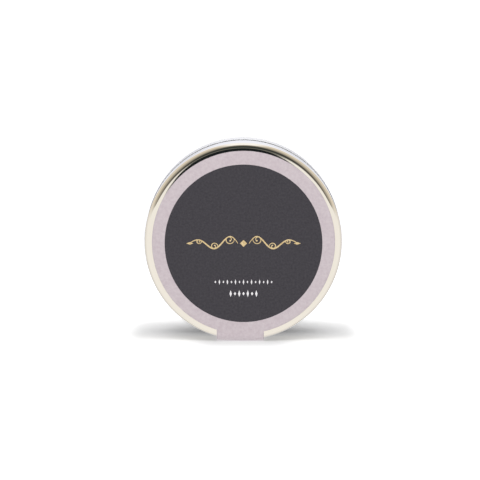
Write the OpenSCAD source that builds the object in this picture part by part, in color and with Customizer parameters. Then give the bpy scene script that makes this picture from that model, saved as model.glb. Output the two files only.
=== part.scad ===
// Shoe cream jar: a thick-walled clear glass jar with a metal-skinned screw lid, a foam wad and a paper label.
// It stands upright: +Z up, the origin at the middle of the standing ring, the label's tab on the -Y side.

/* [Lid] */
// outside diameter of the lid
lid_d = 60; // [56:0.5:64]
// height of the lid, from its lower edge to its flat top
lid_h = 21; // [20:0.25:23]
// thickness of the metal shell
shell_t = 0.45; // [0.35:0.05:0.6]
// radius of the rounded top corner
lid_corner_r = 1.64; // [1.3:0.02:2]
// wall of the plastic inner cap
insert_t = 1.3; // [1.2:0.05:1.35]

/* [Glass jar] */
// height of the whole jar with its lid on, without the label
total_h = 43; // [42:0.5:48]
// outside diameter of the glass body
body_d = 60.2; // [58:0.1:62]
// radius of the heel, between the base and the wall
heel_r = 3.5; // [2.5:0.25:4.5]
// radius of the shoulder, between the wall and the neck
shoulder_r = 1.2; // [1:0.1:2.8]
// gap between the lid's lower edge and the shoulder
shoulder_gap = 0.5; // [0.3:0.1:0.8]
// outside diameter of the neck
neck_d = 53.5; // [51:0.25:53.75]
// diameter of the mouth
mouth_d = 45.5; // [42:0.5:46]
// diameter of the cavity below the neck
cavity_d = 50; // [46:0.5:52]
// thickness of the glass base
base_t = 6.5; // [4:0.25:8]
// depth of the hollow under the base
push_up = 1.4; // [0.8:0.1:2]

/* [Thread] */
// rise of the lid in one full turn
lead = 14; // [12:0.5:16]
// number of thread starts
starts = 4; // [3:1:4]
// thickness of a thread ridge
ridge_w = 1.2; // [1:0.05:1.3]
// length of each glass ridge round the neck, in degrees
ridge_span = 72; // [56:1:76]
// length of each lug in the inner cap, in degrees
lug_span = 30; // [22:1:30]

/* [Contents and wad] */
// height of the cream's rim above the table
fill_h = 34.4; // [26:0.2:34.4]
// dip in the middle of the cream
cream_dip = 0.9; // [0.3:0.1:1.5]
// thickness of the foam wad
wad_t = 1.4; // [1:0.1:1.8]

/* [Label] */
// diameter of the lilac sheet
label_d = 55.6; // [50:0.1:56]
// thickness of the paper
paper_t = 0.12; // [0.08:0.02:0.2]
// diameter of the dark field
field_d = 47.9; // [40:0.1:50]
// width of the tab
tab_w = 14.3; // [8:0.1:18]
// distance of the tab's middle from the label's middle, to the left
tab_left = 0.97; // [0:0.01:2]
// length of the gold emblem
emblem_l = 33.2; // [26:0.2:38]

/* [Hidden] */
$fn = 96;
lid_r = lid_d / 2;
z_top = total_h;
z_edge = total_h - lid_h;
z_shoulder = z_edge - shoulder_gap;
body_r = body_d / 2;
neck_r = neck_d / 2;
mouth_r = mouth_d / 2;
cavity_r = cavity_d / 2;
// clearances between the lid's own pieces
fit_gap = 0.05;
insert_r = lid_r - shell_t - fit_gap;
insert_top = z_top - shell_t - fit_gap;
insert_in_r = insert_r - insert_t;
insert_plate = 1.45;
curl_r = 0.5;
insert_bottom = z_edge + 2 * curl_r + 0.1;
// the wad lies between the lip and the inner cap's plate
wad_top = insert_top - insert_plate - 0.03;
z_lip = wad_top - wad_t - 0.02;
wad_r = insert_in_r - 0.3;
lip_r = 1.2;
// the thread
thread_gap = 0.35;
ridge_tip_r = insert_in_r - thread_gap;
lug_tip_r = neck_r + thread_gap;
rise_angle = atan(lead / (2 * PI * (neck_r + 0.6)));
z_ridge = z_lip - 4.1;
z_lug = z_ridge - ridge_w - 0.25;
ridge_nose_r = ridge_tip_r - ridge_w / 2;
lug_nose_r = lug_tip_r + ridge_w / 2;
// where a circle centred on X crosses radius cut at the ridge's middle and radius wall at half its span
function run_out_centre(cut, wall, half_span) =
    (cut * cut - wall * wall) / (2 * (cut - wall * cos(half_span)));
ridge_cut_r = ridge_tip_r - 0.05;
ridge_centre = run_out_centre(ridge_cut_r, neck_r - 0.15, ridge_span / 2);
lug_cut_r = lug_tip_r + 0.03;
lug_centre = run_out_centre(lug_cut_r, insert_in_r + 0.15, lug_span / 2);
// the hollow under the base is a shallow piece of a sphere
hollow_r = 23;
hollow_ball = (hollow_r * hollow_r + push_up * push_up) / (2 * push_up);
// the inside of the jar
cavity_low_r = 5;
cavity_high_r = 4;
cavity_bend_z = z_shoulder - 4;
cream_gap = 0.05;
// the label's layers, upwards from the lid's top
z_field = z_top + paper_t;
ink_t = 0.04;
z_ink = z_field + ink_t;
label_x = 0.11;
label_y = -0.2;
field_y = -0.32;
base_label_r = 20;
// the tab's fold stands clear of the lid's rounded corner and its crease is nearly straight
fold_y = lid_r + 0.27;
fold_r = 1.9;
crease_r = 106;
skirt_y = lid_r + 0.17;
tab_x = label_x - tab_left;
blend_l = 6;
slit_gap = 0.25;
seal_end_z = 12.5;

// a half section with a rounded upper outer corner, from the axis out to r
module capped_section(r, z0, z1, corner) {
    translate([0, z0]) square([r, z1 - corner - z0]);
    translate([0, z0]) square([r - corner, z1 - z0]);
    translate([r - corner, z1 - corner]) circle(r = corner);
}

// a half section with a rounded lower outer corner, from the axis out to r
module footed_section(r, z0, z1, corner) {
    translate([0, z0 + corner]) square([r, z1 - corner - z0]);
    translate([0, z0]) square([r - corner, z1 - z0]);
    translate([r - corner, z0 + corner]) circle(r = corner);
}

// the half section of the room inside the glass, shrunk by gap on every side
module cavity_section(gap, z1) {
    low = cavity_low_r;
    high = cavity_high_r;
    translate([0, base_t + low]) square([cavity_r - gap, cavity_bend_z - base_t - low]);
    translate([0, base_t + gap]) square([cavity_r - low, low + 1]);
    translate([cavity_r - low, base_t + low]) circle(r = low - gap);
    translate([cavity_r - high, cavity_bend_z]) circle(r = high - gap);
    translate([0, base_t + low]) square([mouth_r - gap, z1 - base_t - low]);
}

// a short ridge on a cylinder about Z, centred on +X at height 0 and rising anticlockwise.
// A large cylinder that crosses its tip, centred at x = centre, makes it run out at both ends.
module run_out_ridge(inner_r, outer_r, nose_r, span, centre, cutter_r) {
    intersection() {
        rotate([rise_angle, 0, 0]) rotate([0, 0, -span / 2]) rotate_extrude(angle = span) {
            translate([inner_r, -ridge_w / 2]) square([outer_r - inner_r, ridge_w]);
            translate([nose_r, 0]) circle(r = ridge_w / 2);
        }
        translate([centre, 0, -6]) cylinder(r = cutter_r, h = 12);
    }
}

module glass_jar() {
    color([0.86, 0.9, 0.93, 0.4]) {
        rotate_extrude() difference() {
            union() {
                footed_section(body_r, 0, heel_r + 1, heel_r);
                translate([0, heel_r + 0.5]) square([body_r, z_shoulder - shoulder_r - heel_r - 0.5]);
                translate([0, z_shoulder - shoulder_r - 1]) square([body_r - shoulder_r, shoulder_r + 1]);
                translate([body_r - shoulder_r, z_shoulder - shoulder_r]) circle(r = shoulder_r);
                translate([0, z_shoulder - 1]) square([neck_r, z_lip - lip_r - z_shoulder + 1]);
                translate([0, z_lip - lip_r]) square([neck_r - lip_r, lip_r]);
                translate([neck_r - lip_r, z_lip - lip_r]) circle(r = lip_r);
            }
            cavity_section(0, z_lip - lip_r);
            // the mouth opens out over a rounded inner lip
            difference() {
                translate([0, z_lip - lip_r]) square([mouth_r + lip_r, lip_r + 1]);
                translate([mouth_r + lip_r, z_lip - lip_r]) circle(r = lip_r);
            }
            // a piece of a large circle makes the hollow under the base
            intersection() {
                translate([0, push_up - hollow_ball]) circle(r = hollow_ball);
                translate([0, -1]) square([hollow_r + 1, push_up + 2]);
            }
        }
        for (i = [0:starts - 1]) {
            rotate([0, 0, i * 360 / starts]) translate([0, 0, z_ridge]) run_out_ridge(
                neck_r - 0.5, ridge_nose_r, ridge_nose_r, ridge_span, ridge_centre, ridge_cut_r - ridge_centre
            );
        }
    }
}

module shoe_cream() {
    dip_r = 20;
    dip_ball = (dip_r * dip_r + cream_dip * cream_dip) / (2 * cream_dip);
    color([0.05, 0.05, 0.06]) rotate_extrude() difference() {
        cavity_section(cream_gap, fill_h);
        // the cream sinks a little in the middle as it sets
        intersection() {
            translate([0, fill_h - cream_dip + dip_ball]) circle(r = dip_ball);
            translate([0, fill_h - cream_dip - 1]) square([dip_r, cream_dip + 2]);
        }
    }
}

// the sticker follows the hollow under the base
module base_label() {
    color([0.93, 0.92, 0.93]) rotate_extrude() intersection() {
        difference() {
            translate([0, push_up - hollow_ball]) circle(r = hollow_ball - 0.02);
            translate([0, push_up - hollow_ball]) circle(r = hollow_ball - 0.02 - paper_t);
        }
        translate([0, -1]) square([base_label_r, push_up + 2]);
    }
}

// the lower end of the seal tab, stuck on the glass below the lid
module seal_tab_end() {
    color([0.81, 0.765, 0.79]) intersection() {
        translate([0, 0, seal_end_z]) rotate_extrude() translate([body_r + 0.02, 0])
            square([paper_t, z_edge - 0.1 - seal_end_z]);
        translate([tab_x - tab_w / 2, -body_r - 1, 0]) cube([tab_w, 8, total_h]);
    }
}

module liner_wad() {
    color([0.95, 0.95, 0.93]) translate([0, 0, wad_top - wad_t]) cylinder(r = wad_r, h = wad_t);
}

module lid_shell() {
    color([0.86, 0.74, 0.5]) rotate_extrude() {
        difference() {
            capped_section(lid_r, z_edge + curl_r, z_top, lid_corner_r);
            capped_section(lid_r - shell_t, z_edge - 1, z_top - shell_t, lid_corner_r - shell_t);
        }
        // the lower edge is curled in, which holds the inner cap
        translate([lid_r - curl_r, z_edge + curl_r]) circle(r = curl_r);
    }
}

module lid_insert() {
    bead_r = 0.5;
    color([0.96, 0.96, 0.95]) {
        rotate_extrude() {
            difference() {
                capped_section(insert_r, insert_bottom, insert_top, 1.6);
                translate([0, insert_bottom - 1]) square([insert_in_r, insert_top - insert_plate - insert_bottom + 1]);
                // a lead-in at the lower edge
                translate([insert_in_r, insert_bottom]) rotate(45) square(0.7, center = true);
            }
            // a small bead under the wad keeps it in the cap
            translate([insert_in_r, wad_top - wad_t - 0.02 - bead_r]) circle(r = bead_r);
        }
        for (i = [0:starts - 1]) {
            rotate([0, 0, i * 360 / starts]) translate([0, 0, z_lug]) run_out_ridge(
                lug_nose_r, insert_in_r + 0.5, lug_nose_r, lug_span, lug_centre, lug_centre - lug_cut_r
            );
        }
    }
}

function smooth(t) = t * t * (3 - 2 * t);

// where the tab's outer face lies: u runs across it from -1 to 1 and s along it from the label to its end.
// The sheet is inset by t, measured square to its face.
function fold_reach(u) = fold_y - pow(u * tab_w / 2, 2) / (2 * crease_r);
function skirt_reach(u) = sqrt(pow(skirt_y, 2) - pow(tab_x + u * tab_w / 2, 2));
function tab_point(u, s, t) =
    let (reach = fold_reach(u), x = tab_x + u * tab_w / 2, z_bend = z_top + paper_t - fold_r)
    s < 1 ? [x, -(24 + s * (reach - fold_r - 24)), z_top + paper_t - t]
    : s < 2 ? [
        x,
        -(reach - fold_r + (fold_r - t) * sin(90 * (s - 1))),
        z_bend + (fold_r - t) * cos(90 * (s - 1))
    ]
    : s < 3 ? [x, -(reach + (skirt_reach(u) - reach) * smooth(s - 2) - t), z_bend - (s - 2) * blend_l]
    : [x, -(skirt_reach(u) - t), z_bend - blend_l - (s - 3) * (z_bend - blend_l - z_edge - slit_gap)];

tab_across = 16;
tab_steps = concat([0, 1], [for (i = [1:9]) 1 + i / 9], [for (i = [1:8]) 2 + i / 8], [4]);

module label_tab() {
    rows = len(tab_steps);
    cols = tab_across + 1;
    n = rows * cols;
    top = [for (s = tab_steps) for (c = [0:tab_across]) tab_point(2 * c / tab_across - 1, s, 0)];
    under = [for (s = tab_steps) for (c = [0:tab_across]) tab_point(2 * c / tab_across - 1, s, paper_t)];
    outer_faces = [
        for (r = [0:rows - 2]) for (c = [0:cols - 2]) for (half = [0, 1])
            half == 0 ? [r * cols + c, r * cols + c + 1, (r + 1) * cols + c + 1]
            : [r * cols + c, (r + 1) * cols + c + 1, (r + 1) * cols + c]
    ];
    inner_faces = [for (f = outer_faces) [f[2] + n, f[1] + n, f[0] + n]];
    end_faces = [
        for (c = [0:cols - 2]) for (half = [0, 1])
            half == 0 ? [c, c + n, c + 1 + n] : [c, c + 1 + n, c + 1]
    ];
    far = (rows - 1) * cols;
    far_faces = [
        for (c = [0:cols - 2]) for (half = [0, 1])
            half == 0 ? [far + c, far + c + 1, far + c + 1 + n] : [far + c, far + c + 1 + n, far + c + n]
    ];
    left_faces = [
        for (r = [0:rows - 2]) for (half = [0, 1])
            half == 0 ? [r * cols, (r + 1) * cols, (r + 1) * cols + n] : [r * cols, (r + 1) * cols + n, r * cols + n]
    ];
    e = cols - 1;
    right_faces = [
        for (r = [0:rows - 2]) for (half = [0, 1])
            half == 0 ? [r * cols + e, r * cols + e + n, (r + 1) * cols + e + n]
            : [r * cols + e, (r + 1) * cols + e + n, (r + 1) * cols + e]
    ];
    polyhedron(
        points = concat(top, under),
        faces = concat(outer_faces, inner_faces, end_faces, far_faces, left_faces, right_faces)
    );
}

module label_sheet() {
    color([0.81, 0.765, 0.79]) {
        translate([label_x, label_y, z_top]) cylinder(d = label_d, h = paper_t);
        label_tab();
    }
}

module label_disc() {
    color([0.29, 0.275, 0.295]) translate([label_x, label_y + field_y, z_field]) cylinder(d = field_d, h = ink_t);
}

// points i = 0 to n along the vine's main stem
function stem_point(i, n) = let (t = i / n)
    [1.7 + (emblem_l / 2 - 1.7) * t, 2.35 * (1 - 0.66 * t) * sin(540 * t)];

// points along a curl round centre c: it starts at radius r and angle a, and winds in by turn degrees
function curl_point(c, r, a, turn, i, n) = let (t = i / n)
    c + r * (1 - 0.72 * t) * [cos(a + turn * t), sin(a + turn * t)];

// a pen stroke through the points, wide in the middle and fine at both ends
module pen(points, wide, fine) {
    n = len(points) - 1;
    side = [for (i = [0:n]) let (
        d = points[min(i + 1, n)] - points[max(i - 1, 0)],
        w = (fine + (wide - fine) * sin(180 * i / n)) / 2
    ) w * [-d[1], d[0]] / norm(d)];
    polygon(concat(
        [for (i = [0:n]) points[i] + side[i]],
        [for (i = [n:-1:0]) points[i] - side[i]]
    ));
}

// one half of the vine: a waving stem, a curl in each bend with a bud at its end, and a pointed tip
module vine() {
    pen([for (i = [0:54]) stem_point(i, 54)], 0.46, 0.2);
    for (k = [0:2]) {
        up = k % 2 == 0 ? 1 : -1;
        size = 1.5 - 0.33 * k;
        c = stem_point(4 + 18 * k, 54) + [size * 0.98, -up * size * 0.18];
        pen([for (i = [0:28]) curl_point(c, size, 180 - up * 14, up * 430, i, 28)], 0.3, 0.18);
        translate(curl_point(c, size, 180 - up * 14, up * 430, 28, 28)) circle(r = 0.27 - 0.04 * k);
    }
    translate([emblem_l / 2 - 0.3, 0]) polygon([[-1.1, 0], [0, 0.4], [1.1, 0], [0, -0.4]]);
}

module lozenge(width, height) {
    polygon([[-width / 2, 0], [0, height / 2], [width / 2, 0], [0, -height / 2]]);
}

module foil_emblem() {
    color([0.86, 0.75, 0.5]) translate([label_x, label_y + field_y, z_ink]) linear_extrude(ink_t) {
        vine();
        mirror([1, 0]) vine();
        rotate(45) square(1.5, center = true);
    }
}

module print_marks() {
    color([0.93, 0.92, 0.92]) translate([label_x, label_y + field_y, z_ink]) linear_extrude(ink_t) {
        for (i = [-7:7]) {
            translate([i * 1.22, -11.75]) lozenge(0.5, i % 2 == 0 ? 1.6 : 0.85);
        }
        for (i = [-3:3]) {
            translate([i * 1.3, -15.3]) lozenge(0.72, i % 2 == 0 ? 1.15 : 2.1);
        }
    }
}

glass_jar();
shoe_cream();
base_label();
seal_tab_end();
liner_wad();
lid_shell();
lid_insert();
label_sheet();
label_disc();
foil_emblem();
print_marks();
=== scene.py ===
"""A glass jar of black shoe cream with a gold screw lid, seen almost straight down on its label."""

import math

import bpy
from mathutils import Matrix, Vector, noise as mnoise


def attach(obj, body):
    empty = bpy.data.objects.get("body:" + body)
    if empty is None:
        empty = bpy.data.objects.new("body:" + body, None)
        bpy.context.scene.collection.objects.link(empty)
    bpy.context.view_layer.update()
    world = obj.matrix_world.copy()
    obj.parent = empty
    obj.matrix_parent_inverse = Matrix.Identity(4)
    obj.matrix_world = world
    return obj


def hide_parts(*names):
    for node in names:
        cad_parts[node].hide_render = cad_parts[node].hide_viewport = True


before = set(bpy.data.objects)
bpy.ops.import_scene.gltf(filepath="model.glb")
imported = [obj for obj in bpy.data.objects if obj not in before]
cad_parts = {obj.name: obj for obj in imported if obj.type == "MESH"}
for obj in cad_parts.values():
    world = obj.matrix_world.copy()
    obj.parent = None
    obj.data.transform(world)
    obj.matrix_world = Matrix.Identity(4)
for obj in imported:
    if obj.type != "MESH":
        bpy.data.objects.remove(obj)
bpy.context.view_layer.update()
MM = 0.001

# ---------------------------------------------------------------- sizes, in millimetres, as in the CAD part
LID_R = 30.0
Z_TOP = 43.0
Z_EDGE = 22.0
CORNER_R = 1.64
SHELL_T = 0.45
CURL_R = 0.5
BODY_R = 30.1
HEEL_R = 3.5
NECK_R = 26.75
NECK_FILLET = 0.6
MOUTH_R = 22.75
CAVITY_R = 25.0
CAVITY_LOW_R = 5.0
CAVITY_HIGH_R = 4.0
Z_SHOULDER = 21.5
SHOULDER_R = 1.2
Z_CAVITY_BEND = Z_SHOULDER - CAVITY_HIGH_R
Z_LIP = 39.6
LIP_R = 1.2
BASE_T = 6.5
PUSH_UP = 1.4
HOLLOW_R = 23.0
INSERT_R = 29.5
BORE_R = 28.2
LEAD = 14.0
THREAD_HALF_W = 0.6
RUN_OUT_SINK = 0.15
RIDGE_TIP_R = NECK_R + 1.1
RIDGE_HALF_SPAN = 36
Z_RIDGE = 35.5
LUG_TIP_R = NECK_R + 0.35
LUG_HALF_SPAN = 15
Z_LUG = 34.05
PAPER_T = 0.12
INK_T = 0.04
LABEL = (0.11, -0.2)
LABEL_R = 27.8
FIELD_Y = -0.32
FIELD_R = 23.95
TAB_X = LABEL[0] - 0.97
TAB_W = 14.3
TINY = 1e-6


# ---------------------------------------------------------------- mesh helpers
def arc(cx, cz, r, a0, a1, n):
    """Points on a circle in the half section, from angle a0 to a1 in degrees."""
    out = []
    for i in range(n + 1):
        a = math.radians(a0 + (a1 - a0) * i / n)
        out.append((cx + r * math.cos(a), cz + r * math.sin(a)))
    return out


def line(p, q, n):
    """Points from p to q without p itself."""
    return [(p[0] + (q[0] - p[0]) * i / n, p[1] + (q[1] - p[1]) * i / n) for i in range(1, n + 1)]


def smooth(t):
    """Eases from 0 to 1 as t does."""
    t = max(0.0, min(1.0, t))
    return t * t * (3 - 2 * t)


def build(name, verts, faces, body, replaced, material, sharp, second=None, where=None):
    """A mesh piece in millimetres that rides on a body, with smooth shading broken at sharp angles.
    The faces whose index where() accepts take the second material."""
    mesh = bpy.data.meshes.new(name)
    mesh.from_pydata([(x * MM, y * MM, z * MM) for x, y, z in verts], [], faces)
    mesh.validate()
    mesh.update()
    mesh.polygons.foreach_set("use_smooth", [True] * len(mesh.polygons))
    mesh.set_sharp_from_angle(angle=math.radians(sharp))
    mesh.materials.append(material)
    if second:
        mesh.materials.append(second)
        mesh.polygons.foreach_set("material_index", [int(where(i)) for i in range(len(mesh.polygons))])
    obj = bpy.data.objects.new(name, mesh)
    bpy.context.scene.collection.objects.link(obj)
    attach(obj, body)
    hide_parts(*replaced)
    return obj


def revolve(profile, segs, displace=None):
    """Turns a half section about Z. A closed section has its first point again at its end.
    displace(i, theta, r, z) gives a row's point a new (r, z)."""
    verts, faces, rows = [], [], []
    closed = profile[0] == profile[-1] and profile[0][0] > TINY
    pts = profile[:-1] if closed else profile
    for i, (r, z) in enumerate(pts):
        if r < TINY:
            rows.append([len(verts)])
            verts.append((0.0, 0.0, displace(i, 0.0, r, z)[1] if displace else z))
            continue
        row = []
        for s in range(segs):
            th = 2 * math.pi * s / segs
            rr, zz = displace(i, th, r, z) if displace else (r, z)
            row.append(len(verts))
            verts.append((rr * math.cos(th), rr * math.sin(th), zz))
        rows.append(row)
    pairs = list(zip(rows, rows[1:]))
    if closed:
        pairs.append((rows[-1], rows[0]))
    for a, b in pairs:
        for s in range(segs):
            t = (s + 1) % segs
            if len(a) == 1:
                faces.append((a[0], b[t], b[s]))
            elif len(b) == 1:
                faces.append((a[s], a[t], b[0]))
            else:
                faces.append((a[s], a[t], b[t], b[s]))
    return verts, faces


def run_out(phi, cut, wall, half_span):
    """The radius at angle phi of the cylinder that makes a thread ridge run out at its ends."""
    c = (cut * cut - wall * wall) / (2 * (cut - wall * math.cos(math.radians(half_span))))
    r = abs(cut - c)
    p = math.radians(phi)
    root = math.sqrt(max(0.0, r * r - (c * math.sin(p)) ** 2))
    return c * math.cos(p) + (root if c < cut else -root)


def thread_phase(theta):
    """Degrees from the middle of the nearest of the four thread starts, the first of which is on +X."""
    deg = math.degrees(theta) % 90
    return deg - 90 if deg > 45 else deg


def flank(z, z_middle, phi):
    """How much a thread ridge stands out at height z, phi degrees from its middle.
    Its nose is full to 0.62 of the half width, and its foot is a little past the half width."""
    off = abs(z - (z_middle + LEAD * phi / 360)) / THREAD_HALF_W
    return 1 - smooth((off - 0.62) / 0.6)


# ---------------------------------------------------------------- material helpers
class Look:
    """One node material round a Principled shader, with its noises in millimetres."""

    def __init__(self, name, **sockets):
        self.mat = bpy.data.materials.new(name)
        self.mat.use_nodes = True
        self.tree = self.mat.node_tree
        self.bsdf = self.tree.nodes["Principled BSDF"]
        self.coord = self.node("ShaderNodeTexCoord")
        for key, value in sockets.items():
            self.bsdf.inputs[key.replace("_", " ")].default_value = value

    def node(self, kind, **props):
        n = self.tree.nodes.new(kind)
        for key, value in props.items():
            setattr(n, key, value)
        return n

    def link(self, a, b):
        self.tree.links.new(a, b)

    def place(self, stretch=(1, 1, 1), turn=(0, 0, 0)):
        """Object coordinates in millimetres, stretched by these factors."""
        m = self.node("ShaderNodeMapping")
        m.inputs["Scale"].default_value = tuple(1000 * s for s in stretch)
        m.inputs["Rotation"].default_value = turn
        self.link(self.coord.outputs["Object"], m.inputs["Vector"])
        return m.outputs["Vector"]

    def noise(self, size, detail=3.0, rough=0.55, stretch=(1, 1, 1), turn=(0, 0, 0)):
        """A noise whose blobs are about size millimetres across."""
        n = self.node("ShaderNodeTexNoise")
        n.inputs["Scale"].default_value = 1.0 / size
        n.inputs["Detail"].default_value = detail
        n.inputs["Roughness"].default_value = rough
        self.link(self.place(stretch, turn), n.inputs["Vector"])
        return n.outputs["Fac"]

    def cells(self, size):
        """Round cells about size millimetres across."""
        n = self.node("ShaderNodeTexVoronoi")
        n.inputs["Scale"].default_value = 1.0 / size
        self.link(self.place(), n.inputs["Vector"])
        return n.outputs["Distance"]

    def span(self, value, lo, hi, out_lo=0.0, out_hi=1.0):
        """The value from lo to hi, stretched to run from out_lo to out_hi."""
        n = self.node("ShaderNodeMapRange")
        n.inputs["From Min"].default_value = lo
        n.inputs["From Max"].default_value = hi
        n.inputs["To Min"].default_value = out_lo
        n.inputs["To Max"].default_value = out_hi
        self.link(value, n.inputs["Value"])
        return n.outputs["Result"]

    def math(self, op, a, b):
        n = self.node("ShaderNodeMath", operation=op)
        for i, v in enumerate((a, b)):
            if isinstance(v, (int, float)):
                n.inputs[i].default_value = v
            else:
                self.link(v, n.inputs[i])
        return n.outputs[0]

    def blend(self, factor, a, b):
        """A colour between a and b by the factor. Either may be a colour or another socket."""
        n = self.node("ShaderNodeMix", data_type="RGBA")
        self.link(factor, n.inputs["Factor"])
        for key, v in ((6, a), (7, b)):
            if isinstance(v, tuple):
                n.inputs[key].default_value = (*v, 1.0)
            else:
                self.link(v, n.inputs[key])
        return n.outputs[2]

    def colour(self, socket):
        self.link(socket, self.bsdf.inputs["Base Color"])

    def rough(self, socket):
        self.link(socket, self.bsdf.inputs["Roughness"])

    def bump(self, height, depth, strength=1.0, after=None):
        """Adds relief of depth millimetres, on top of the relief after."""
        n = self.node("ShaderNodeBump")
        n.inputs["Strength"].default_value = strength
        n.inputs["Distance"].default_value = depth * MM
        self.link(height, n.inputs["Height"])
        if after is not None:
            self.link(after, n.inputs["Normal"])
        self.link(n.outputs["Normal"], self.bsdf.inputs["Normal"])
        return n.outputs["Normal"]


def glass_look():
    look = Look("clear_glass", Transmission_Weight=1.0, IOR=1.5, Metallic=0.0)
    tint = look.noise(18.0, 2.0)
    look.colour(look.blend(tint, (0.955, 0.965, 0.985), (0.985, 0.99, 0.995)))
    scuffs = look.noise(0.35, 4.0, 0.7, (1, 1, 0.25))
    look.rough(look.span(scuffs, 0.62, 0.85, 0.0, 0.05))
    look.bump(look.noise(9.0, 1.0, 0.4, (1, 1, 0.6)), 0.035)
    return look.mat


def cream_look():
    look = Look("black_cream", Specular_IOR_Level=0.5, Coat_Weight=0.35, Coat_Roughness=0.12)
    film = look.noise(2.4, 5.0, 0.6)
    look.colour(look.blend(look.span(film, 0.35, 0.7), (0.006, 0.006, 0.008), (0.017, 0.016, 0.018)))
    look.rough(look.span(look.noise(0.8, 4.0), 0.3, 0.7, 0.22, 0.42))
    first = look.bump(look.noise(1.3, 4.0, 0.6), 0.10)
    look.bump(look.cells(0.45), 0.02, 0.6, first)
    return look.mat


def wetted_look():
    """The cream where it lies against the glass, which takes its gloss away."""
    look = Look("black_cream_on_glass", Specular_IOR_Level=0.04, Roughness=0.6)
    film = look.span(look.noise(3.5, 4.0, 0.6, (1, 1, 0.5)), 0.4, 0.75)
    look.colour(look.blend(film, (0.0050, 0.0050, 0.0065), (0.011, 0.0105, 0.012)))
    look.rough(look.span(film, 0, 1, 0.5, 0.7))
    return look.mat


def gold_look():
    look = Look("gold_lid", Metallic=1.0)
    look.bsdf.inputs["Specular Tint"].default_value = (0.66, 0.67, 0.73, 1.0)
    patina = look.noise(7.0, 3.0)
    look.colour(look.blend(patina, (0.82, 0.755, 0.635), (0.86, 0.795, 0.685)))
    haze = look.noise(3.0, 4.0, 0.65, (1, 1, 0.3))
    hair = look.noise(0.12, 2.0, 0.6, (1, 1, 0.05))
    clouded = look.span(haze, 0.3, 0.8, 0.012, 0.036)
    look.rough(look.math("ADD", clouded, look.span(hair, 0.68, 0.9, 0.0, 0.07)))
    waves = look.bump(look.noise(6.0, 2.0, 0.5), 0.004)
    look.bump(hair, 0.0006, 0.5, waves)
    return look.mat


def lilac_look(name):
    look = Look(name, Roughness=0.62, Specular_IOR_Level=0.32, Sheen_Weight=0.08)
    mottle = look.span(look.noise(0.75, 4.0, 0.6), 0.32, 0.68)
    base = look.blend(mottle, (0.485, 0.414, 0.442), (0.560, 0.496, 0.516))
    fibres = look.span(look.noise(0.16, 3.0, 0.6, (1, 0.22, 1), (0, 0, 0.5)), 0.60, 0.8)
    base = look.blend(fibres, base, (0.597, 0.546, 0.568))
    flecks = look.span(look.noise(0.11, 2.0, 0.5, (0.3, 1, 1), (0, 0, 0.9)), 0.70, 0.78)
    look.colour(look.blend(flecks, base, (0.424, 0.356, 0.398)))
    look.rough(look.span(mottle, 0, 1, 0.55, 0.7))
    grain = look.bump(look.noise(0.22, 4.0, 0.65), 0.012)
    look.bump(look.noise(4.0, 2.0), 0.05, 0.6, grain)
    return look.mat


def charcoal_look():
    look = Look("charcoal_print", Roughness=0.55, Specular_IOR_Level=0.35)
    mottle = look.span(look.noise(0.6, 4.0, 0.65), 0.3, 0.7)
    base = look.blend(mottle, (0.0285, 0.026, 0.0315), (0.051, 0.0465, 0.054))
    pin = look.span(look.noise(0.14, 2.0, 0.5), 0.66, 0.8)
    look.colour(look.blend(pin, base, (0.080, 0.071, 0.082)))
    look.rough(look.span(look.noise(0.5, 3.0), 0.3, 0.7, 0.48, 0.62))
    look.bump(look.noise(0.2, 4.0, 0.6), 0.008)
    return look.mat


def foil_look():
    look = Look("gold_foil", Metallic=0.55, Specular_IOR_Level=0.5)
    sparkle = look.span(look.noise(0.5, 4.0, 0.7), 0.3, 0.75)
    look.colour(look.blend(sparkle, (0.60, 0.42, 0.19), (0.95, 0.76, 0.44)))
    look.rough(look.span(look.noise(0.3, 3.0), 0.3, 0.7, 0.28, 0.5))
    look.bump(look.noise(0.25, 4.0, 0.7), 0.012)
    return look.mat


def white_ink_look():
    look = Look("white_print", Roughness=0.5)
    cover = look.span(look.noise(0.12, 3.0, 0.6), 0.25, 0.6)
    look.colour(look.blend(cover, (0.52, 0.49, 0.52), (0.88, 0.86, 0.87)))
    look.bump(look.noise(0.15, 3.0), 0.006)
    return look.mat


def white_paper_look():
    look = Look("base_paper", Roughness=0.6)
    rings = look.node("ShaderNodeTexWave", wave_type="RINGS", rings_direction="Z")
    rings.inputs["Scale"].default_value = 0.055
    look.link(look.place(), rings.inputs["Vector"])
    band = look.span(rings.outputs["Fac"], 0.93, 0.97)
    paper = look.blend(look.noise(0.5, 4.0), (0.80, 0.785, 0.80), (0.88, 0.87, 0.88))
    look.colour(look.blend(band, paper, (0.34, 0.30, 0.34)))
    look.bump(look.noise(0.2, 4.0, 0.65), 0.012)
    return look.mat


def moulded_look():
    look = Look("white_moulding", Specular_IOR_Level=0.5, Subsurface_Weight=0.12, Subsurface_Scale=0.001)
    look.bsdf.inputs["Subsurface Radius"].default_value = (1.0, 0.95, 0.9)
    flow = look.noise(4.0, 3.0, 0.5, (1, 1, 0.3))
    look.colour(look.blend(flow, (0.82, 0.82, 0.80), (0.88, 0.88, 0.865)))
    look.rough(look.span(look.noise(0.5, 3.0), 0.3, 0.7, 0.26, 0.4))
    look.bump(look.noise(0.9, 3.0, 0.5), 0.008)
    return look.mat


def foam_look():
    look = Look("white_foam", Roughness=0.75, Subsurface_Weight=0.1, Subsurface_Scale=0.001)
    cell = look.cells(0.35)
    # painted shade in the pores: the colour darkens towards each cell's middle, where the bump below sinks it
    look.colour(look.blend(look.span(cell, 0.0, 0.7), (0.74, 0.74, 0.72), (0.90, 0.90, 0.885)))
    first = look.bump(cell, 0.05)
    look.bump(look.noise(2.5, 3.0), 0.05, 0.7, first)
    return look.mat


# ---------------------------------------------------------------- the glass jar
def dome(r):
    """The height of the hollow under the jar at radius r."""
    ball = (HOLLOW_R ** 2 + PUSH_UP ** 2) / (2 * PUSH_UP)
    return PUSH_UP - ball + math.sqrt(ball * ball - r * r)


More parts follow.
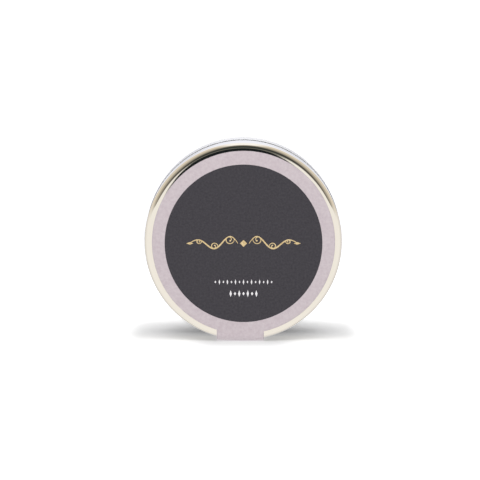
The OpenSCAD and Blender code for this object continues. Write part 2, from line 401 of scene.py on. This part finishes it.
def glass_jar():
    thread_low, thread_high = 32.9, 38.2
    reach = MOUTH_R - CAVITY_R + CAVITY_HIGH_R
    inner_meet = Z_CAVITY_BEND + math.sqrt(CAVITY_HIGH_R ** 2 - reach ** 2)
    profile = [(r, dome(r)) for r in (0, 3, 6, 9, 12, 15, 18, 20, 21.5, 22.6)]
    profile += [(HOLLOW_R, 0.02), (HOLLOW_R + 0.5, 0.0), (HOLLOW_R + 2.0, 0.0)]
    profile += arc(BODY_R - HEEL_R, HEEL_R, HEEL_R, -90, 0, 22)
    profile += line((BODY_R, HEEL_R), (BODY_R, Z_SHOULDER - SHOULDER_R), 10)
    profile += arc(BODY_R - SHOULDER_R, Z_SHOULDER - SHOULDER_R, SHOULDER_R, 0, 90, 18)[1:]
    profile += arc(NECK_R + NECK_FILLET, Z_SHOULDER + NECK_FILLET, NECK_FILLET, -90, -180, 6)
    profile += line((NECK_R, Z_SHOULDER + NECK_FILLET), (NECK_R, thread_low), 4)
    profile += line((NECK_R, thread_low), (NECK_R, thread_high), 46)
    profile += arc(NECK_R - LIP_R, Z_LIP - LIP_R, LIP_R, 0, 90, 12)
    profile += arc(MOUTH_R + LIP_R, Z_LIP - LIP_R, LIP_R, 90, 180, 12)
    profile += line((MOUTH_R, Z_LIP - LIP_R), (MOUTH_R, inner_meet + 0.5), 8)
    profile += [(MOUTH_R + 0.04, inner_meet + 0.15), (MOUTH_R + 0.25, inner_meet - 0.18)]
    start = math.degrees(math.acos((reach + 0.6) / CAVITY_HIGH_R))
    profile += arc(CAVITY_R - CAVITY_HIGH_R, Z_CAVITY_BEND, CAVITY_HIGH_R, start, 0, 12)
    profile += line((CAVITY_R, Z_CAVITY_BEND), (CAVITY_R, BASE_T + CAVITY_LOW_R), 3)
    profile += arc(CAVITY_R - CAVITY_LOW_R, BASE_T + CAVITY_LOW_R, CAVITY_LOW_R, 0, -90, 16)[1:]
    profile += [(r, BASE_T) for r in (16, 12, 8, 4, 0)]

    def ridge(i, th, r, z):
        if abs(r - NECK_R) > TINY or z < thread_low - 0.4 or z > thread_high + 0.15:
            return r, z
        phi = thread_phase(th)
        lift = run_out(phi, RIDGE_TIP_R - 0.05, NECK_R - RUN_OUT_SINK, RIDGE_HALF_SPAN) - NECK_R
        return r + max(lift, 0) * flank(z, Z_RIDGE, phi), z

    verts, faces = revolve(profile, 256, ridge)
    build("jar_glass", verts, faces, "jar", ["glass_jar"], glass_look(), 50)


# ---------------------------------------------------------------- the cream, against the glass all over
def shoe_cream():
    segs = 192
    grow = 0.02
    rim = 34.38
    top_z = 34.12
    top_r = 22.45
    rings = 90
    flat_r = 20.5
    start = math.degrees(math.acos((MOUTH_R + grow - CAVITY_R + CAVITY_HIGH_R) / (CAVITY_HIGH_R + grow)))
    profile = [(0, BASE_T - grow), (8, BASE_T - grow), (15, BASE_T - grow)]
    profile += arc(CAVITY_R - CAVITY_LOW_R, BASE_T + CAVITY_LOW_R, CAVITY_LOW_R + grow, -90, 0, 16)
    profile += line((CAVITY_R + grow, BASE_T + CAVITY_LOW_R), (CAVITY_R + grow, Z_CAVITY_BEND), 3)
    profile += arc(CAVITY_R - CAVITY_HIGH_R, Z_CAVITY_BEND, CAVITY_HIGH_R + grow, 0, start, 12)[1:]
    profile += line((MOUTH_R + grow, 22.0), (MOUTH_R + grow, rim), 6)
    sides = len(profile)
    profile += [(MOUTH_R + grow - 0.12, rim - 0.03)]
    profile += [(top_r - top_r * (i / rings), top_z) for i in range(rings + 1)]

    def top(i, th, r, z):
        if i <= sides:
            return r, z
        dip = 0.75 * (1 - smooth(r / flat_r))
        wall = 0.30 * math.exp(-(22.7 - r) / 0.55)
        # a lazy spiral left by the filling nozzle, with a small peak in the middle
        turn = math.cos(th - r * 0.62 + 0.7)
        swirl = 0.17 * turn * smooth(r / 4.0) * (1 - smooth((r - 15.5) / 6.0))
        peak = 0.34 * math.exp(-((r / 2.1) ** 2)) * (1 + 0.35 * math.cos(th - 0.9) * smooth(r / 1.2))
        x, y = r * math.cos(th), r * math.sin(th)
        rough = 0.045 * mnoise.noise(Vector((x * 0.35, y * 0.35, 3.1)))
        rough += 0.018 * mnoise.noise(Vector((x * 1.3, y * 1.3, 8.4)))
        return r, z - dip + wall + swirl + peak + rough * (1 - smooth((r - flat_r) / 2.0))

    verts, faces = revolve(profile, segs, top)
    # the faces run row by row, and the rows up to sides lie against the glass
    wet = segs * sides
    build("cream_fill", verts, faces, "jar", ["shoe_cream"], cream_look(), 60,
          wetted_look(), lambda i: i < wet)


# ---------------------------------------------------------------- the gold shell of the lid
def lid_shell():
    # the flat rim falls away a little towards the corner, as pressed metal does
    fall = 0.016
    profile = [(0, Z_TOP), (10, Z_TOP), (20, Z_TOP), (26, Z_TOP), (27.5, Z_TOP)]
    profile += [(27.6, Z_TOP - 0.001), (27.75, Z_TOP - 0.004)]
    profile += arc(LID_R - CORNER_R, Z_TOP - fall - CORNER_R, CORNER_R, 88.85, 0, 28)
    profile += line((LID_R, Z_TOP - fall - CORNER_R), (LID_R, Z_EDGE + CURL_R), 12)
    # the lower edge curls in on itself
    profile += arc(LID_R - CURL_R, Z_EDGE + CURL_R, CURL_R, 0, -264, 30)[1:]
    profile += line((LID_R - SHELL_T, Z_EDGE + 2 * CURL_R + 0.05), (LID_R - SHELL_T, Z_TOP - CORNER_R), 6)
    profile += arc(LID_R - CORNER_R, Z_TOP - CORNER_R, CORNER_R - SHELL_T, 0, 90, 12)[1:]
    profile += [(20, Z_TOP - SHELL_T), (10, Z_TOP - SHELL_T), (0, Z_TOP - SHELL_T)]
    verts, faces = revolve(profile, 288)
    build("lid_gold_shell", verts, faces, "lid", ["lid_shell"], gold_look(), 40)


# ---------------------------------------------------------------- the white threaded inner cap
def lid_insert():
    low = Z_EDGE + 1.1
    top = Z_TOP - SHELL_T - 0.05
    plate = top - 1.45
    corner = 1.6
    thread_low, thread_high = 32.2, 36.2
    bead_z, bead_r = 39.1, 0.5
    profile = [(0, top), (14, top), (26, top)]
    profile += arc(INSERT_R - corner, top - corner, corner, 90, 0, 10)
    profile += line((INSERT_R, top - corner), (INSERT_R, low + 0.25), 4)
    profile += [(INSERT_R - 0.08, low + 0.07), (INSERT_R - 0.25, low), (BORE_R + 0.55, low)]
    profile += [(BORE_R + 0.45, low + 0.03), (BORE_R + 0.05, low + 0.42), (BORE_R, low + 0.52)]
    profile += line((BORE_R, low + 0.52), (BORE_R, thread_low), 5)
    profile += line((BORE_R, thread_low), (BORE_R, thread_high), 38)
    profile += line((BORE_R, thread_high), (BORE_R, bead_z - bead_r), 3)
    # a bead that holds the wad in
    profile += arc(BORE_R, bead_z, bead_r, 260, 100, 10)
    profile += [(BORE_R, bead_z + bead_r), (BORE_R, plate - 0.2), (BORE_R - 0.06, plate - 0.06)]
    profile += [(BORE_R - 0.2, plate)]
    profile += [(r, plate) for r in (24, 20, 16, 12, 8, 4, 1.6)]
    profile += [(1.4, plate - 0.03), (1.0, plate - 0.15), (0.4, plate - 0.18), (0, plate - 0.18)]

    def lug(i, th, r, z):
        if abs(r - BORE_R) > TINY or z < thread_low - 0.2 or z > thread_high + 0.3:
            return r, z
        phi = thread_phase(th)
        if abs(phi) > LUG_HALF_SPAN:
            return r, z
        lift = BORE_R - run_out(phi, LUG_TIP_R + 0.03, BORE_R + RUN_OUT_SINK, LUG_HALF_SPAN)
        return r - max(lift, 0) * flank(z, Z_LUG, phi), z

    verts, faces = revolve(profile, 256, lug)
    build("lid_inner_cap", verts, faces, "lid", ["lid_insert"], moulded_look(), 50)


# ---------------------------------------------------------------- the foam wad, marked by the lip
def liner_wad():
    low, top = Z_LIP + 0.02, Z_LIP + 1.42
    profile = [(0, low), (8, low), (16, low), (21.0, low)]
    profile += [(21.5 + 0.25 * i, low) for i in range(0, 23)]
    profile += [(27.5, low + 0.01), (27.75, low + 0.08), (27.88, low + 0.3), (27.9, low + 0.68)]
    profile += [(27.88, top - 0.3), (27.75, top - 0.08), (27.5, top - 0.01), (20, top), (10, top), (0, top)]

    def dent(i, th, r, z):
        if z > low + 0.005 or r < 21 or r > 27.2:
            return r, z
        mark = smooth((r - 22.9) / 0.8) * (1 - smooth((r - 25.9) / 0.8))
        return r, z + 0.13 * mark * (1 + 0.12 * math.sin(3 * th))

    verts, faces = revolve(profile, 192, dent)
    build("lid_wad", verts, faces, "wad", ["liner_wad"], foam_look(), 60)


# ---------------------------------------------------------------- the label, with a tab over the edge
def tab_rows():
    """The tab's outer face, as rows of (x, y, z) from the label's edge to the slit.
    Each row has one point per step across."""
    cols = 24
    fold_r = 1.9
    skirt_r = LID_R + 0.17
    settle = 6
    z_bend = Z_TOP + PAPER_T - fold_r
    end = Z_EDGE + 0.25
    across = [2 * c / cols - 1 for c in range(cols + 1)]
    steps = [0.5, 0.8, 1.0] + [1 + i / 14 for i in range(1, 15)] + [2 + i / 12 for i in range(1, 13)]
    steps += [3 + i / 10 for i in range(1, 11)]
    rows = []
    for s in steps:
        row = []
        for u in across:
            x = TAB_X + u * TAB_W / 2
            # the crease is nearly straight, and its left end comes a little nearer
            reach = LID_R + 0.235 - 0.24 * u * u + 0.085 * u * (1 - u * u * 0.3)
            skirt = math.sqrt(skirt_r ** 2 - x * x)
            start = -LABEL[1] + math.sqrt(LABEL_R ** 2 - (x - LABEL[0]) ** 2)
            if s <= 1:
                y, z = start + (reach - fold_r - start) * s, Z_TOP + PAPER_T
            elif s <= 2:
                a = math.radians(90 * (s - 1))
                y = reach - fold_r + fold_r * math.sin(a)
                z = z_bend + fold_r * math.cos(a)
            elif s <= 3:
                y = reach + (skirt - reach) * smooth(s - 2)
                z = z_bend - settle * (s - 2)
            else:
                y, z = skirt, z_bend - settle - (s - 3) * (z_bend - settle - end)
                # the slit runs a little unevenly
                z += 0.06 * math.sin(u * 9.0) * (s - 3)
            row.append((x, -y, z))
        rows.append(row)
    return across, rows


def label_sheet():
    """A disc and a tab in one sheet. The disc's rings share the tab's columns, and are even elsewhere."""
    across, rows = tab_rows()
    verts = [(LABEL[0], LABEL[1], Z_TOP + PAPER_T)]
    faces = []
    tab_x = [TAB_X + u * TAB_W / 2 - LABEL[0] for u in across]
    tab_angles = [math.atan2(-math.sqrt(LABEL_R ** 2 - x ** 2), x) for x in tab_x]
    first, last = tab_angles[0], tab_angles[-1]
    rest = 220
    gap = 2 * math.pi - (last - first)
    angles = tab_angles + [last + gap * i / rest for i in range(1, rest)]
    n = len(angles)
    rings = []
    for r in (6, 12, 18, 22, 24.5, 26.5, 27.5, LABEL_R):
        rings.append([len(verts) + i for i in range(n)])
        for a in angles:
            verts.append((LABEL[0] + r * math.cos(a), LABEL[1] + r * math.sin(a), Z_TOP + PAPER_T))
    for i in range(n):
        faces.append((0, rings[0][i], rings[0][(i + 1) % n]))
    for a, b in zip(rings, rings[1:]):
        for i in range(n):
            j = (i + 1) % n
            faces.append((a[i], b[i], b[j], a[j]))
    edge = rings[-1][: len(across)]
    for row in rows:
        here = [len(verts) + i for i in range(len(row))]
        verts += row
        for i in range(len(row) - 1):
            faces.append((edge[i], here[i], here[i + 1], edge[i + 1]))
        edge = here
    paper = lilac_look("lilac_paper")
    obj = build("lid_label", verts, faces, "lid", ["label_sheet"], paper, 60)
    thick = obj.modifiers.new("paper", "SOLIDIFY")
    thick.thickness = (PAPER_T - 0.01) * MM
    thick.offset = -1.0


def label_field():
    """The dark printed field, whose edge wavers a little where the ink spread."""
    low = Z_TOP + PAPER_T + 0.002
    top = Z_TOP + PAPER_T + INK_T
    flat_r = 22
    profile = [(r, top) for r in (0, 8, 16, flat_r, FIELD_R - 0.03)]
    profile += [(FIELD_R, top - INK_T * 0.5), (FIELD_R, low), (flat_r, low), (0, low)]

    def bleed(i, th, r, z):
        if r <= flat_r:
            return r, z
        return r + 0.02 * mnoise.noise(Vector((math.cos(th) * 30, math.sin(th) * 30, 0))), z

    verts, faces = revolve(profile, 320, bleed)
    verts = [(x + LABEL[0], y + LABEL[1] + FIELD_Y, z) for x, y, z in verts]
    build("lid_label_field", verts, faces, "lid", ["label_disc"], charcoal_look(), 30)


for piece in (glass_jar, shoe_cream, lid_shell, lid_insert, liner_wad, label_sheet, label_field):
    piece()


# ---------------------------------------------------------------- CAD nodes that stay, with their own looks
def dress(node, material):
    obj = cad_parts[node]
    obj.data.materials.clear()
    obj.data.materials.append(material)


dress("foil_emblem", foil_look())
dress("print_marks", white_ink_look())
dress("base_label", white_paper_look())
dress("seal_tab_end", lilac_look("lilac_seal"))


# ---------------------------------------------------------------- stage, in metres: a level floor, and the
# white table that the lid's rim and the tab lie on, which stands upright beside the jar here
WALL_Y = -0.0304
GAP_Y = -0.0266
SLOT_X = 0.042
SLOT_END = 0.020
FAR = 2.0
WALL_HIGH = 1.4
WALL_LOW = -0.06


def level(x0, x1, y0, y1):
    """One rectangle of the floor."""
    return [(x0, y0, 0.0), (x1, y0, 0.0), (x1, y1, 0.0), (x0, y1, 0.0)]


def slot_end(side):
    """The floor beside one rounded end of the slot, in narrow strips."""
    strips = 10
    edge = []
    for i in range(strips + 1):
        along = i / strips
        edge.append((side * (SLOT_X - SLOT_END * (1 - along)), GAP_Y - (GAP_Y - WALL_Y) * along ** 3))
    quads = []
    for (x0, y0), (x1, y1) in zip(edge, edge[1:]):
        quad = [(x0, y0, 0.0), (x1, y1, 0.0), (x1, GAP_Y, 0.0), (x0, GAP_Y, 0.0)]
        quads.append(quad if side > 0 else quad[::-1])
    return quads


def plane(name, quads, white, glow, terms):
    """A white board that takes light and shadow, and that only the camera sees, from its front.
    Each of terms is (axis, start, end, whiteness added, glow added), eased from start to end: painted shade
    where it takes less light, painted light where it glows."""
    mesh = bpy.data.meshes.new(name)
    mesh.from_pydata([p for quad in quads for p in quad], [],
                     [tuple(range(4 * i, 4 * i + 4)) for i in range(len(quads))])
    mesh.update()
    obj = bpy.data.objects.new(name, mesh)
    bpy.context.scene.collection.objects.link(obj)
    mat = bpy.data.materials.new(name)
    mat.use_nodes = True
    tree = mat.node_tree
    bsdf = tree.nodes["Principled BSDF"]
    bsdf.inputs["Roughness"].default_value = 0.9
    bsdf.inputs["Specular IOR Level"].default_value = 0.0
    bsdf.inputs["Emission Color"].default_value = (1.0, 1.0, 1.0, 1.0)
    bsdf.inputs["Base Color"].default_value = (white, white, white, 1.0)
    split = tree.nodes.new("ShaderNodeSeparateXYZ")
    tree.links.new(tree.nodes.new("ShaderNodeTexCoord").outputs["Object"], split.inputs[0])
    for socket, base, column in (("Base Color", white, 3), ("Emission Strength", glow, 4)):
        total = None
        for term in terms:
            if not term[column]:
                continue
            ramp = tree.nodes.new("ShaderNodeMapRange")
            ramp.interpolation_type = "SMOOTHSTEP"
            ramp.inputs["From Min"].default_value = term[1]
            ramp.inputs["From Max"].default_value = term[2]
            ramp.inputs["To Max"].default_value = term[column]
            tree.links.new(split.outputs[term[0]], ramp.inputs["Value"])
            add = tree.nodes.new("ShaderNodeMath")
            add.inputs[1].default_value = base
            if total:
                tree.links.new(total, add.inputs[1])
            tree.links.new(ramp.outputs["Result"], add.inputs[0])
            total = add.outputs[0]
        if total:
            tree.links.new(total, bsdf.inputs[socket])
    geo = tree.nodes.new("ShaderNodeNewGeometry")
    clear = tree.nodes.new("ShaderNodeBsdfTransparent")
    pick = tree.nodes.new("ShaderNodeMixShader")
    tree.links.new(geo.outputs["Backfacing"], pick.inputs[0])
    tree.links.new(bsdf.outputs[0], pick.inputs[1])
    tree.links.new(clear.outputs[0], pick.inputs[2])
    tree.links.new(pick.outputs[0], tree.nodes["Material Output"].inputs["Surface"])
    mesh.materials.append(mat)
    for ray in ("diffuse", "glossy", "transmission", "volume_scatter", "shadow"):
        setattr(obj, "visible_" + ray, False)


def both_sides(start, end, white, glow):
    """The same term towards +X and towards -X."""
    return [("X", start, end, white, glow), ("X", -start, -end, white, glow)]


# the floor is open in a short slot along the foot of the table, which goes on below it there
floor = [level(-FAR, FAR, GAP_Y, FAR), level(-FAR, FAR, -FAR, WALL_Y)]
floor += [level(-FAR, -SLOT_X, WALL_Y, GAP_Y), level(SLOT_X, FAR, WALL_Y, GAP_Y)]
floor += slot_end(1) + slot_end(-1)
# painted light: it glows more towards the slot, so that the jar's cast shade has no edge there
plane("stage_floor", floor, 0.9, 0.46, [("Y", 0.0, GAP_Y, 0.0, 0.44)])

table = [(-FAR, WALL_Y, WALL_HIGH), (FAR, WALL_Y, WALL_HIGH)]
table += [(FAR, WALL_Y, WALL_LOW), (-FAR, WALL_Y, WALL_LOW)]
# painted light and shade: it glows more and takes less light higher up, and glows more again below the floor
# and past the lid
eased = [("Z", 0.0, 0.018, -0.85, 0.32), ("Z", 0.0, -0.055, 0.0, 0.3), ("Z", 0.036, 0.08, 0.0, 0.5)]
# painted shade: it takes less light where the rim touches it, so it is darkest there, and painted light makes
# it white again beyond the jar's shade
eased += both_sides(0.008, 0.020, 0.5, 0.0) + both_sides(0.031, SLOT_X, 0.0, 0.5)
plane("stage_table", [table], 1.4, 0.03, eased)


# ---------------------------------------------------------------- light
def world_light():
    """A white studio as the lid sees it: a white table on the -Y side and behind, a dark room above,
    and a large soft light at +Y. Dull surfaces and the camera see plainer surrounds of their own."""
    world = bpy.data.worlds.new("studio")
    bpy.context.scene.world = world
    world.use_nodes = True
    tree = world.node_tree
    tree.nodes.clear()
    new = tree.nodes.new

    def maths(op, *values):
        n = new("ShaderNodeMath")
        n.operation = op
        for i, v in enumerate(values):
            if isinstance(v, (int, float)):
                n.inputs[i].default_value = v
            else:
                tree.links.new(v, n.inputs[i])
        return n.outputs[0]

    def ramp(value, lo, hi):
        n = new("ShaderNodeMapRange")
        n.interpolation_type = "SMOOTHSTEP"
        n.inputs["From Min"].default_value = lo
        n.inputs["From Max"].default_value = hi
        tree.links.new(value, n.inputs["Value"])
        return n.outputs["Result"]

    def mix(fac, a, b):
        n = new("ShaderNodeMix")
        n.data_type = "RGBA"
        tree.links.new(fac, n.inputs["Factor"])
        for key, v in ((6, a), (7, b)):
            if isinstance(v, tuple):
                n.inputs[key].default_value = (*v, 1.0)
            else:
                tree.links.new(v, n.inputs[key])
        return n.outputs[2]

    def stops(value, table):
        """A colour ramp over 0 to 1 through (place, colour) stops."""
        n = new("ShaderNodeValToRGB")
        marks = n.color_ramp.elements
        while len(marks) < len(table):
            marks.new(0.5)
        for mark, (at, colour) in zip(marks, table):
            mark.position = at
            mark.color = (*colour, 1.0)
        tree.links.new(value, n.inputs["Fac"])
        return n.outputs["Color"]

    def warm(v):
        return v, v * 0.94, v * 0.84

    coord = new("ShaderNodeTexCoord")
    split = new("ShaderNodeSeparateXYZ")
    tree.links.new(coord.outputs["Generated"], split.inputs[0])
    x, y, z = split.outputs
    side = maths("ABSOLUTE", x)
    # the room is darkest a little above the view and brightens away from there
    off = maths("ADD", maths("MULTIPLY", y, 0.42), maths("MULTIPLY", z, 0.9075))
    room = stops(off, [(0.26, warm(0.84)), (0.574, warm(0.52)), (0.707, warm(0.50)), (0.81, warm(0.35)),
                       (0.906, warm(0.15)), (0.955, (0.06, 0.066, 0.063)), (0.985, (0.04, 0.05, 0.05))])
    # a lighter strip close to the line of view
    strip = maths("MULTIPLY", ramp(y, 0.0, 0.03), maths("SUBTRACT", 1.0, ramp(y, 0.11, 0.17)))
    strip = maths("MULTIPLY", strip, ramp(z, 0.5, 0.9))
    room = mix(strip, room, (0.25, 0.255, 0.24))
    # the soft light overhead
    light = maths("MULTIPLY", maths("SUBTRACT", 1.0, ramp(side, 0.10, 0.30)),
                  maths("SUBTRACT", 1.0, ramp(z, 0.16, 0.46)))
    room = mix(light, room, (1.17, 1.20, 1.28))
    # behind the jar everything is white
    behind = ramp(maths("MULTIPLY", z, -1.0), 0.68, 0.92)
    glare = mix(ramp(y, 0.14, 0.26), (1.25, 1.25, 1.29), (1.6, 1.6, 1.65))
    room = mix(behind, room, glare)
    # the white table, whose far edge rises to both sides
    # it is sharp near the line of view and soft away from it
    softness = maths("ADD", maths("MULTIPLY", ramp(z, 0.85, 0.5), 0.12), 0.008)
    beyond = maths("SUBTRACT", y, maths("MULTIPLY", side, 0.27))
    up = ramp(maths("DIVIDE", beyond, softness), -1.0, 1.0)
    table = mix(ramp(z, -0.1, 0.35), (0.90, 0.91, 0.95), (1.03, 1.045, 1.08))
    sky = mix(up, table, room)
    # straight behind the jar it is a plain white
    straight = maths("MULTIPLY", ramp(maths("MULTIPLY", z, -1.0), 0.6, 0.9),
                     maths("SUBTRACT", 1.0, ramp(y, 0.0, 0.05)))
    sky = mix(straight, sky, (0.875, 0.88, 0.92))
    # the black of the lens, close to the line of view
    apart = maths("SQRT", maths("ADD", maths("POWER", maths("ADD", x, 0.010), 2.0),
                                maths("POWER", maths("ADD", y, 0.0093), 2.0)))
    lens = maths("MULTIPLY", maths("SUBTRACT", 1.0, ramp(apart, 0.038, 0.046)), ramp(z, 0.5, 0.9))
    sky = mix(lens, sky, (0.012, 0.016, 0.018))
    # what the polished lid throws back on the table is the table's own shade
    seen = new("ShaderNodeLightPath")
    thrown = maths("GREATER_THAN", seen.outputs["Diffuse Depth"], 0.5)
    shade = maths("MULTIPLY", seen.outputs["Is Glossy Ray"], thrown)
    sky = mix(shade, sky, (0.16, 0.16, 0.16))
    # dull surfaces get a little light from everywhere, and much more from the table's side
    even = mix(ramp(y, -0.25, 0.05), (1.1, 1.1, 1.1), (0.2, 0.2, 0.2))
    sky = mix(seen.outputs["Is Diffuse Ray"], sky, even)
    back = new("ShaderNodeBackground")
    tree.links.new(sky, back.inputs["Color"])
    plain = new("ShaderNodeBackground")
    plain.inputs["Color"].default_value = (1.0, 1.0, 1.0, 1.0)
    plain.inputs["Strength"].default_value = 1.2
    pick = new("ShaderNodeMixShader")
    tree.links.new(seen.outputs["Is Camera Ray"], pick.inputs[0])
    tree.links.new(back.outputs[0], pick.inputs[1])
    tree.links.new(plain.outputs[0], pick.inputs[2])
    out = new("ShaderNodeOutputWorld")
    tree.links.new(pick.outputs[0], out.inputs["Surface"])


def area_light(name, place, aim, size, power):
    """A soft box that lights dull surfaces and isn't seen itself."""
    data = bpy.data.lights.new(name, "AREA")
    data.shape = "RECTANGLE"
    data.size, data.size_y = size
    data.energy = power
    obj = bpy.data.objects.new(name, data)
    bpy.context.scene.collection.objects.link(obj)
    obj.location = place
    obj.rotation_mode = "QUATERNION"
    obj.rotation_quaternion = (Vector(aim) - Vector(place)).to_track_quat("-Z", "Y")
    for ray in ("camera", "glossy", "transmission"):
        setattr(obj, "visible_" + ray, False)


world_light()
JAR_MIDDLE = (0, 0, 0.022)
area_light("soft_overhead", (0.0, 0.45, 0.62), JAR_MIDDLE, (0.6, 0.7), 4.8)

scene = bpy.context.scene
scene.view_settings.view_transform = "Standard"
scene.view_settings.look = "None"

# ---------------------------------------------------------------- camera, 1.5 m above the lid, a little to +Y
SENSOR_W = 36.0
VIEW_W = 0.14572
cam_data = bpy.data.cameras.new("camera")
cam = bpy.data.objects.new("camera", cam_data)
scene.collection.objects.link(cam)
scene.camera = cam
place = Vector((0.0, 0.0945, 1.5425))
look_at = Vector((-0.00096, 0.00050, 0.043))
ahead = (look_at - place).normalized()
right = ahead.cross(Vector((0, 1, 0))).normalized()
upward = right.cross(ahead)
turn = Matrix((right, upward, -ahead)).transposed()
cam.matrix_world = Matrix.Translation(place) @ turn.to_4x4()
cam_data.sensor_width = SENSOR_W
cam_data.lens = SENSOR_W * (look_at - place).length / VIEW_W
cam_data.clip_start, cam_data.clip_end = 0.05, 20.0
